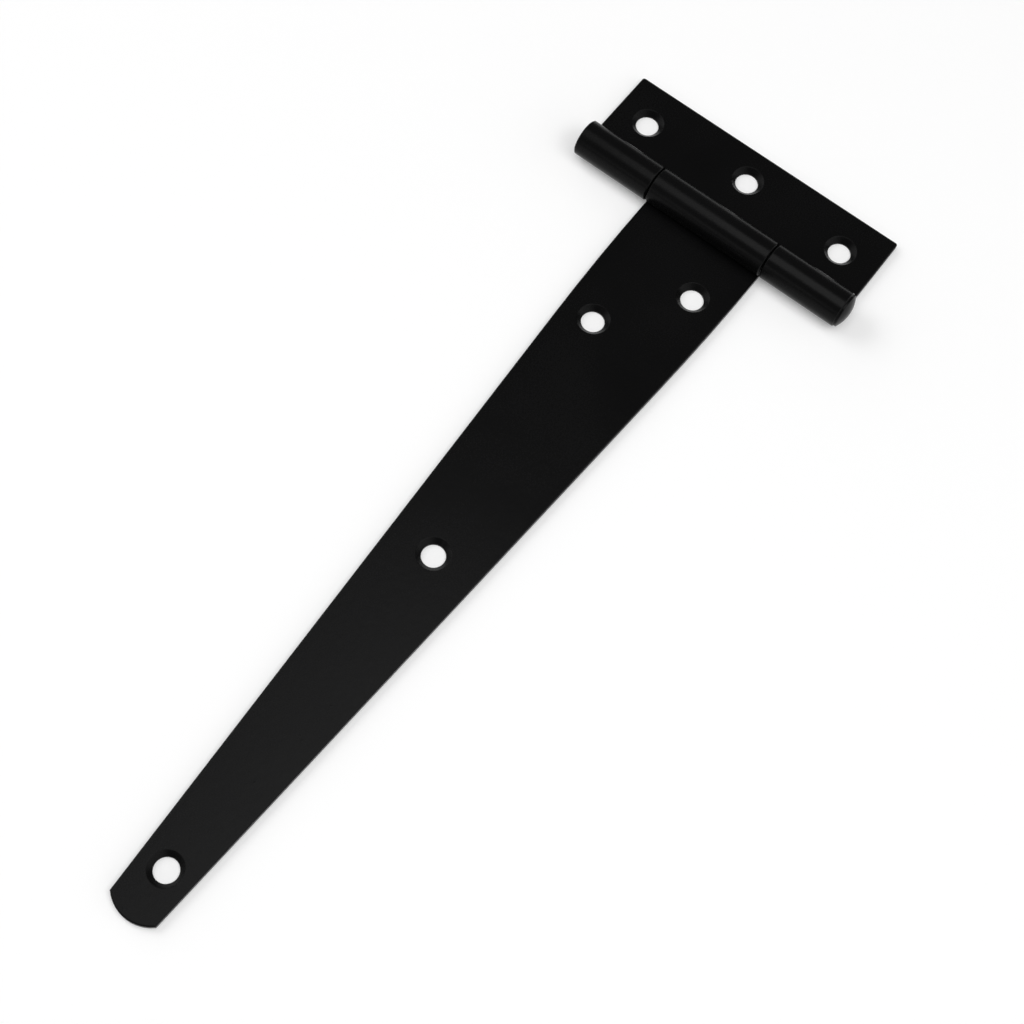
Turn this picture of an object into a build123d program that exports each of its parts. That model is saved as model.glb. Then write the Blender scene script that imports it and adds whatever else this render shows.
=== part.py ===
from build123d import *
import os
from math import acos, asin, atan2, degrees, hypot, sqrt

# Light tee hinge of pressed steel: a short flange leaf and a long tapered strap leaf, whose rolled
# knuckles share one pin. Millimetres. The hinge lies open and flat, with the backs of both leaves
# on Z = 0 and the knuckles standing up on the front. The pin runs along Y above the origin, and
# the strap points along +X.

# Sheet and pin
sheet = 1.6
pin_diameter = 5.5
running_gap = 0.05
staked_length = 5.0
head_diameter = 8.2
head_height = 1.6
head_rim = 0.5
peened_diameter = 6.4
peened_height = 0.7

# Rolled knuckles: one on the strap, between two on the flange
side_gap = 0.3
seam_gap = 0.15

# Flange leaf
flange_length = 72.7
flange_reach = 24.5
flange_corner_radius = 0.6
notch_gap = 0.5
notch_corner_radius = 0.5

# Strap leaf
strap_length = 200.0
neck_width = 31.6
neck_run = 4.0
shoulder_radius = 640.0
tip_width = 11.7
tip_radius = 8.5

# Countersunk screw holes: reach is measured from the pin, offset from the centre line and inset
# from the leaf's end. The flange's row of holes as a whole stands a little off its centre line. The
# middle hole of the strap stands at its share of the way from the near hole to the tip hole.
hole_diameter = 5.4
countersink_diameter = 7.7
countersink_angle = 90.0
flange_hole_reach = 14.4
flange_hole_inset = 8.95
middle_hole_reach = 16.3
hole_row_offset = -0.6
near_hole_reach = 17.5
near_hole_offset = 7.3
far_hole_reach = 36.3
far_hole_offset = -7.0
mid_hole_share = 0.5032
tip_hole_inset = 12.0

# Break along the sheared edges
edge_break = 0.25

# Sizes that follow from those above
pin_radius = pin_diameter / 2
bore_radius = pin_radius + running_gap
knuckle_radius = bore_radius + sheet
pin_height = knuckle_radius
head_radius = head_diameter / 2
peened_radius = peened_diameter / 2
neck_half = neck_width / 2
tip_half = tip_width / 2
flange_half = flange_length / 2
outer_knuckle_start = neck_half + side_gap
outer_knuckle_length = flange_half - outer_knuckle_start
notch_reach = knuckle_radius + notch_gap
tip_corner = strap_length - tip_radius + sqrt(tip_radius**2 - tip_half**2)
first_hole_offset = hole_row_offset - (flange_half - flange_hole_inset)
last_hole_offset = hole_row_offset + (flange_half - flange_hole_inset)
tip_hole_reach = strap_length - tip_hole_inset
mid_hole_reach = near_hole_reach + mid_hole_share * (tip_hole_reach - near_hole_reach)


def shoulder_turn():
    """Angle of the shoulder arc that leaves the neck and runs out straight at the tip corner."""
    along = tip_corner - neck_run
    across = tip_half - (neck_half - shoulder_radius)
    return 90 - degrees(atan2(across, along) + acos(shoulder_radius / hypot(along, across)))


def dome_radius(rim_radius, height):
    """Radius of the sphere whose cap has that rim and height."""
    return (rim_radius**2 + height**2) / (2 * height)


def curl_section(side):
    """Draw the rolled end of a leaf that lies on the side of the pin given by side, +1 or -1.

    The sheet passes under the pin, rises beyond it and comes back over the top, until its sheared
    end nearly meets the front of the leaf again.
    """
    tuck_angle = degrees(asin((knuckle_radius - sheet - seam_gap) / knuckle_radius))
    wrap_angle = side * (270 + tuck_angle)
    with BuildLine() as section:
        outside = CenterArc((0, pin_height), knuckle_radius, -90, -wrap_angle)
        inside = CenterArc((0, pin_height), bore_radius, -90, -wrap_angle)
        Line(outside @ 1, inside @ 1)
        Line(outside @ 0, inside @ 0)
    make_face(section.edges())


def sheared_edges(leaf):
    """Pick the edges that shearing left round the leaf: its outline, front and back, and the ends
    of its knuckles. The bend lines over the origin are smooth, so they are left out.
    """
    outline = leaf.edges().filter_by(Axis.Z, reverse=True)
    return outline.filter_by(lambda edge: abs(edge.center().X) > edge_break)


def screw_holes(*places):
    """Cut a countersunk screw hole from the front of the leaf at each (X, Y)."""
    with Locations(*[(x, y, sheet) for x, y in places]):
        CounterSinkHole(
            radius=hole_diameter / 2,
            counter_sink_radius=countersink_diameter / 2,
            counter_sink_angle=countersink_angle,
        )


# Strap leaf: a long tapered plate whose broad end is rolled into the middle knuckle
with BuildPart() as strap_leaf:
    with BuildSketch(Plane.XY):
        with BuildLine():
            root = Line((0, 0), (0, neck_half))
            neck = Line(root @ 1, (neck_run, neck_half))
            shoulder = JernArc(neck @ 1, neck % 1, shoulder_radius, -shoulder_turn())
            taper = Line(shoulder @ 1, (tip_corner, tip_half))
            mirror(about=Plane.XZ)
            ThreePointArc(taper @ 1, (strap_length, 0), (tip_corner, -tip_half))
        make_face()
    extrude(amount=sheet)
    with BuildSketch(Plane.XZ):
        curl_section(side=1)
    extrude(amount=neck_half, both=True)
    chamfer(sheared_edges(strap_leaf), edge_break)
    screw_holes(
        (near_hole_reach, near_hole_offset),
        (far_hole_reach, far_hole_offset),
        (mid_hole_reach, 0),
        (tip_hole_reach, 0),
    )
strap_leaf.part.label = "strap_leaf"

# Flange leaf: a short plate, notched round the middle knuckle, with a rolled knuckle each side
with BuildPart() as flange_leaf:
    with BuildSketch(Plane.XY) as flange_outline:
        with Locations((-flange_reach / 2, 0)):
            Rectangle(flange_reach, flange_length)
        with Locations((-notch_reach / 2, 0)):
            Rectangle(notch_reach, 2 * outer_knuckle_start, mode=Mode.SUBTRACT)
        fillet(flange_outline.vertices().group_by(Axis.X)[1], notch_corner_radius)
        fillet(flange_outline.vertices().group_by(Axis.X)[0], flange_corner_radius)
    extrude(amount=sheet)
    for knuckle_end in (flange_half, -outer_knuckle_start):
        with BuildSketch(Plane.XZ.offset(-knuckle_end)):
            curl_section(side=-1)
        extrude(amount=outer_knuckle_length)
    chamfer(sheared_edges(flange_leaf), edge_break)
    screw_holes(
        (-flange_hole_reach, first_hole_offset),
        (-middle_hole_reach, hole_row_offset),
        (-flange_hole_reach, last_hole_offset),
    )
flange_leaf.part.label = "flange_leaf"

# Hinge pin: a rivet, free in the middle knuckle and upset at both ends to grip the outer knuckles,
# with a domed head on one end and the other end peened over
with BuildPart() as hinge_pin:
    with BuildSketch(Plane.YZ):
        with BuildLine():
            Polyline(
                (-flange_half - peened_height, pin_height),
                (flange_half + head_height, pin_height),
            )
            RadiusArc(
                (flange_half + head_rim, pin_height + head_radius),
                (flange_half + head_height, pin_height),
                dome_radius(head_radius, head_height - head_rim),
            )
            Polyline(
                (flange_half + head_rim, pin_height + head_radius),
                (flange_half, pin_height + head_radius),
                (flange_half, pin_height + bore_radius),
                (flange_half - staked_length, pin_height + bore_radius),
                (flange_half - staked_length - running_gap, pin_height + pin_radius),
                (staked_length + running_gap - flange_half, pin_height + pin_radius),
                (staked_length - flange_half, pin_height + bore_radius),
                (-flange_half, pin_height + bore_radius),
                (-flange_half, pin_height + peened_radius),
            )
            RadiusArc(
                (-flange_half - peened_height, pin_height),
                (-flange_half, pin_height + peened_radius),
                dome_radius(peened_radius, peened_height),
            )
        make_face()
    revolve(axis=Axis((0, 0, pin_height), (0, 1, 0)))
hinge_pin.part.label = "hinge_pin"

os.makedirs("parts", exist_ok=True)
for piece in (flange_leaf, strap_leaf, hinge_pin):
    export_step(piece.part, f"parts/{piece.part.label}.step")
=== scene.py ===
from math import pi

import bpy
from mathutils import Matrix, Vector

# A black coated tee hinge that lies open and flat on a white floor. Metres, +Z up.

# Coat: its look, the sizes of its pattern, and how deep each part of the pattern stands in it
COAT_COLOR = (0.0030, 0.0030, 0.0031)
COAT_IOR = 1.18
GLOSSIEST, DULLEST = 0.24, 0.29
GRAIN_DULLING = 0.03
SHADE_SPREAD = 0.15
CLOUD_SIZE = 0.022
PEEL_SIZE, PEEL_DEPTH = 0.0016, 0.00012
GRAIN_SIZE, GRAIN_DEPTH = 0.00028, 0.00003
NIB_SPACING, NIB_DEPTH = 0.0035, 0.00005
NIB_TOP, NIB_FOOT = 0.03, 0.075
EDGE_ROUNDING = 0.00022
PATTERN_STEP = 0.173

# Floor: the lamps light it fully out to one distance and hardly at all beyond the other, and its
# glow makes up what they leave
FLOOR_SIZE = 60.0
FLOOR_DROP = 0.00002
FLOOR_COLOR = (0.8, 0.8, 0.8, 1)
LIT_REACH, UNLIT_REACH = 0.4, 1.8
LIT_GLOW, UNLIT_GLOW = 0.19, 0.95

# Room: how bright it and its two side walls are, where 1 is white. The walls come in as a direction
# turns sideways, from the first share to the second, and go out as it turns upwards. The floor's
# white goes on past the horizon and ends in the same way.
ROOM_LIGHT = 0.17
WALL_LIGHT = 1.25
WALL_START, WALL_WHOLE = 0.4, 0.85
WALL_TOP, WALL_END = 0.4, 0.65
HORIZON_START, HORIZON_END = 0.015, 0.06

# Camera, as fitted to the photo: where it stands and the axes of its picture
CAMERA_PLACE = (0.223366, 0.082131, 0.365432)
CAMERA_RIGHT = (-0.602414, 0.795558, 0.064693)
CAMERA_DOWN = (0.718108, 0.575578, -0.391192)
CAMERA_FORWARD = (-0.348452, -0.189203, -0.918032)
SENSOR_WIDTH = 36.0
LENS = 65.1945
CLIP_START = 0.01


class NodeKit:
    """Adds nodes to one node tree and wires them up."""

    def __init__(self, tree):
        self.tree = tree
        tree.nodes.clear()

    def add(self, kind, settings=None, **inputs):
        """Add a node. Settings are its properties, and inputs are values or sockets to join."""
        node = self.tree.nodes.new(kind)
        for name, value in (settings or {}).items():
            setattr(node, name, value)
        for name, value in inputs.items():
            self.feed(node, name.replace("_", " "), value)
        return node

    def feed(self, node, name, value):
        """Set an input of a node, by its name or number, to a value or join it to a socket."""
        socket = node.inputs[name]
        if isinstance(value, bpy.types.NodeSocket):
            self.tree.links.new(value, socket)
        else:
            socket.default_value = value

    def math(self, operation, *values):
        node = self.add("ShaderNodeMath", {"operation": operation})
        for number, value in enumerate(values):
            self.feed(node, number, value)
        return node.outputs[0]

    def remap(self, value, low, high, out_low, out_high):
        """Turn the range low to high of a value into out_low to out_high, held at both ends."""
        limits = {"From_Min": low, "From_Max": high, "To_Min": out_low, "To_Max": out_high}
        return self.add("ShaderNodeMapRange", Value=value, **limits).outputs["Result"]

    def noise(self, place, size, detail=2.0, roughness=0.5):
        """Noise from 0 to 1 whose features are about the given size, in metres."""
        node = self.add(
            "ShaderNodeTexNoise", Vector=place, Scale=1 / size, Detail=detail, Roughness=roughness
        )
        return node.outputs["Fac"]

    def bump(self, height, strength, depth, normal):
        node = self.add(
            "ShaderNodeBump", Strength=strength, Distance=depth, Height=height, Normal=normal
        )
        return node.outputs["Normal"]

    def surface(self, shader):
        self.add("ShaderNodeOutputMaterial", Surface=shader)


def new_material(name):
    material = bpy.data.materials.new(name)
    material.use_nodes = True
    return material, NodeKit(material.node_tree)


def black_coat(name, shift):
    """Semi-gloss black powder coat on sheet steel: a faint orange peel, a fine grain, a gloss that
    wanders a little over the leaf, and corners that the coat has rounded off. Shift moves the
    pattern, so that no two pieces carry the same one.
    """
    material, kit = new_material(name)
    where = kit.add("ShaderNodeTexCoord").outputs["Object"]
    corner = (shift, 0.37 * shift, 0.11)
    place = kit.add("ShaderNodeMapping", Vector=where, Location=corner).outputs[0]

    peel = kit.noise(place, PEEL_SIZE, detail=1.0)
    grain = kit.noise(place, GRAIN_SIZE, detail=2.0, roughness=0.6)
    cloud = kit.noise(place, CLOUD_SIZE, detail=3.0)
    nibs = kit.add("ShaderNodeTexVoronoi", Vector=place, Scale=1 / NIB_SPACING)
    nib = kit.remap(nibs.outputs["Distance"], NIB_TOP, NIB_FOOT, 1.0, 0.0)

    rounded = kit.add("ShaderNodeBevel", {"samples": 6}, Radius=EDGE_ROUNDING).outputs["Normal"]
    wavy = kit.bump(peel, 0.10, PEEL_DEPTH, rounded)
    grainy = kit.bump(grain, 0.12, GRAIN_DEPTH, wavy)
    specked = kit.bump(nib, 0.25, NIB_DEPTH, grainy)

    dulled = kit.remap(grain, 0.3, 0.7, -GRAIN_DULLING, GRAIN_DULLING)
    gloss = kit.math("ADD", kit.remap(cloud, 0.3, 0.7, GLOSSIEST, DULLEST), dulled)
    shade = kit.remap(cloud, 0.25, 0.75, 1 - SHADE_SPREAD, 1 + SHADE_SPREAD)
    tint = kit.add("ShaderNodeVectorMath", {"operation": "SCALE"}, Scale=shade)
    kit.feed(tint, 0, COAT_COLOR)
    shader = kit.add("ShaderNodeBsdfPrincipled", Roughness=gloss, IOR=COAT_IOR, Normal=specked)
    kit.feed(shader, "Base Color", tint.outputs[0])
    kit.surface(shader.outputs[0])
    return material


def white_floor():
    """A plain white floor that keeps the shadow of what lies on it."""
    material, kit = new_material("white_floor")
    path = kit.add("ShaderNodeLightPath")
    seen = kit.math("MAXIMUM", path.outputs["Is Camera Ray"], path.outputs["Is Glossy Ray"])
    seen = kit.math("MAXIMUM", seen, path.outputs["Is Transmission Ray"])
    distance = kit.add("ShaderNodeVectorMath", {"operation": "LENGTH"})
    kit.feed(distance, 0, kit.add("ShaderNodeTexCoord").outputs["Object"])
    fade = kit.remap(distance.outputs["Value"], LIT_REACH, UNLIT_REACH, LIT_GLOW, UNLIT_GLOW)
    paper = kit.add("ShaderNodeBsdfDiffuse", Color=FLOOR_COLOR)
    glow = kit.add("ShaderNodeEmission", Strength=kit.math("MULTIPLY", seen, fade))
    both = kit.add("ShaderNodeAddShader")
    kit.feed(both, 0, paper.outputs[0])
    kit.feed(both, 1, glow.outputs[0])
    kit.surface(both.outputs[0])
    return material


def add_floor():
    half = FLOOR_SIZE / 2
    corners = [(-half, -half, 0), (half, -half, 0), (half, half, 0), (-half, half, 0)]
    mesh = bpy.data.meshes.new("floor")
    mesh.from_pydata(corners, [], [(0, 1, 2, 3)])
    mesh.materials.append(white_floor())
    floor = bpy.data.objects.new("floor", mesh)
    floor.location.z = -FLOOR_DROP
    bpy.context.scene.collection.objects.link(floor)


def add_softbox(name, place, aim, size, brightness):
    """Hang a softbox, whose face is brightness times as bright as white."""
    lamp = bpy.data.lights.new(name, "AREA")
    lamp.shape = "RECTANGLE"
    lamp.size, lamp.size_y = size
    lamp.energy = brightness * pi * size[0] * size[1]
    box = bpy.data.objects.new(name, lamp)
    box.location = place
    box.rotation_euler = (Vector(aim) - Vector(place)).to_track_quat("-Z", "Y").to_euler()
    bpy.context.scene.collection.objects.link(box)


def add_room():
    """A dim room with pale walls at both sides. Up to the horizon it is as white as the floor."""
    world = bpy.data.worlds.new("studio")
    world.use_nodes = True
    kit = NodeKit(world.node_tree)
    way = kit.add("ShaderNodeTexCoord").outputs["Generated"]
    aim = kit.add("ShaderNodeSeparateXYZ", Vector=way)
    sideways = kit.math("ABSOLUTE", aim.outputs["Y"])
    wall = kit.remap(sideways, WALL_START, WALL_WHOLE, 0.0, WALL_LIGHT)
    low = kit.remap(aim.outputs["Z"], WALL_TOP, WALL_END, 1.0, 0.0)
    room = kit.math("ADD", kit.math("MULTIPLY", wall, low), ROOM_LIGHT)
    below = kit.remap(aim.outputs["Z"], HORIZON_START, HORIZON_END, 1.0, 0.0)
    strength = kit.math("MAXIMUM", room, below)
    sky = kit.add("ShaderNodeBackground", Strength=strength, Color=(1, 1, 1, 1))
    kit.add("ShaderNodeOutputWorld", Surface=sky.outputs[0])
    bpy.context.scene.world = world


def light_studio():
    """Softboxes overhead, past the tip and at each side, in the dim room."""
    add_room()
    add_softbox("overhead", (0.14, 0.08, 0.96), (0.14, 0.08, 0), (0.72, 0.69), 2.35)
    add_softbox("past_tip", (1.2, -0.23, 0.42), (0, -0.03, 0), (0.25, 0.32), 1.2)
    add_softbox("side_left", (0.15, -0.95, 0.85), (0.08, 0, 0), (0.8, 0.5), 3.5)
    add_softbox("side_right", (0.05, 0.75, 1.05), (0.08, 0, 0), (0.8, 0.4), 3.5)


def aim_camera():
    """Look down on the hinge from above its tip, which is at the lower left of the picture."""
    data = bpy.data.cameras.new("camera")
    data.sensor_fit = "HORIZONTAL"
    data.sensor_width = SENSOR_WIDTH
    data.lens = LENS
    data.clip_start = CLIP_START
    camera = bpy.data.objects.new("camera", data)
    axes = (Vector(CAMERA_RIGHT), -Vector(CAMERA_DOWN), -Vector(CAMERA_FORWARD))
    turn = Matrix(axes).transposed().to_4x4()
    camera.matrix_world = Matrix.Translation(CAMERA_PLACE) @ turn
    bpy.context.scene.collection.objects.link(camera)
    bpy.context.scene.camera = camera


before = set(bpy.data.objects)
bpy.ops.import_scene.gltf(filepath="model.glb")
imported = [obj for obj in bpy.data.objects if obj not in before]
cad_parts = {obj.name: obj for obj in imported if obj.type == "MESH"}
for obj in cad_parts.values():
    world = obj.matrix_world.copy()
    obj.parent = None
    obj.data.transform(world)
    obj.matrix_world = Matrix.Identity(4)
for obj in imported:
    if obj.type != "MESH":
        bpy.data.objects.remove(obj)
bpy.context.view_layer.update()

for number, (name, node) in enumerate(sorted(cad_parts.items()), 1):
    coat = black_coat("coat_" + name, number * PATTERN_STEP)
    node.data.materials.clear()
    node.data.materials.append(coat)

add_floor()
light_studio()
aim_camera()
bpy.context.scene.view_settings.view_transform = "Standard"
